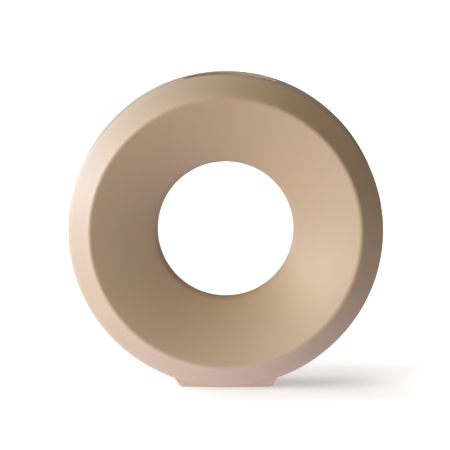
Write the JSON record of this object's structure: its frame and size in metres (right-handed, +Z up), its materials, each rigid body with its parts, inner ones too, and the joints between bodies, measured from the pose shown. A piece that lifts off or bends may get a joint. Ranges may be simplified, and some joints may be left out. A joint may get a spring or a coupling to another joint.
{
  "type": "donut vase",
  "caption": "Hollow ring vase standing upright on a low flared foot, with a slot-like mouth cut in the top of its outer band.",
  "frame": {"origin": "centre of the foot's underside, on the surface the vase stands on", "axes": "+Z up, front face towards -Y, +X to the right seen from the front, the hole runs along Y"},
  "size_m": [0.285, 0.0738, 0.2858],
  "materials": {
    "fired_clay": "dry, fine-grained fired clay",
    "joint_slip": "dry fired slip",
    "matte_glaze": "smooth matte skin-toned glaze",
    "lining_glaze": "thin satin lining glaze"
  },
  "bodies": {
    "root": {"front_shell": "fired_clay", "back_shell": "fired_clay", "outer_seam_slip": "joint_slip", "neck_seam_slip": "joint_slip", "foot": "fired_clay", "foot_joint_slip": "joint_slip", "outer_glaze": "matte_glaze", "inner_glaze": "lining_glaze"}
  },
  "joints": []
}
